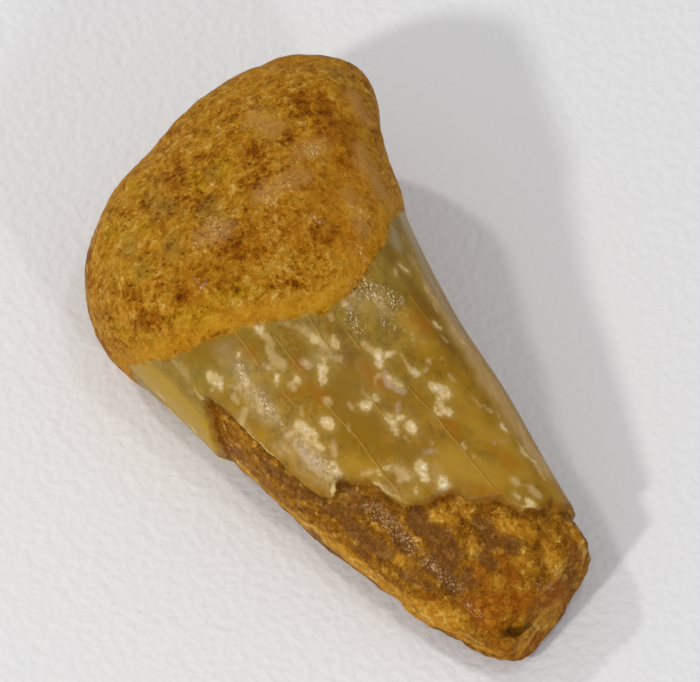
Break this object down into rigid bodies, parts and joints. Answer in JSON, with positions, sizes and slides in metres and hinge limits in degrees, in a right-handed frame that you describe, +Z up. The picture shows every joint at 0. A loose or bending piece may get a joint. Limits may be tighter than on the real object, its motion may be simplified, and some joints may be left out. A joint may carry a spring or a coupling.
{
  "type": "fossil dinosaur bone",
  "caption": "Broken-off end of a small fossil limb bone: rounded joint end, tapering glassy shaft and bare rough broken tip, lying flat for display or study.",
  "frame": {"origin": "Middle of the bounding box in plan, at the level of the surface the bone lies on.", "axes": "+Y along the bone from its broken tip to its joint end, +Z up, +X to the right as seen from above with the joint end away from the viewer."},
  "size_m": [0.021, 0.038, 0.0128],
  "materials": {
    "fossil_bone": "silica-replaced bone: ochre granular crust on the joint end, glossy translucent olive to amber shell with cream flecks on the shaft, rough brown core at the broken tip"
  },
  "bodies": {
    "root": {"fossil_bone": "fossil_bone"}
  },
  "joints": []
}
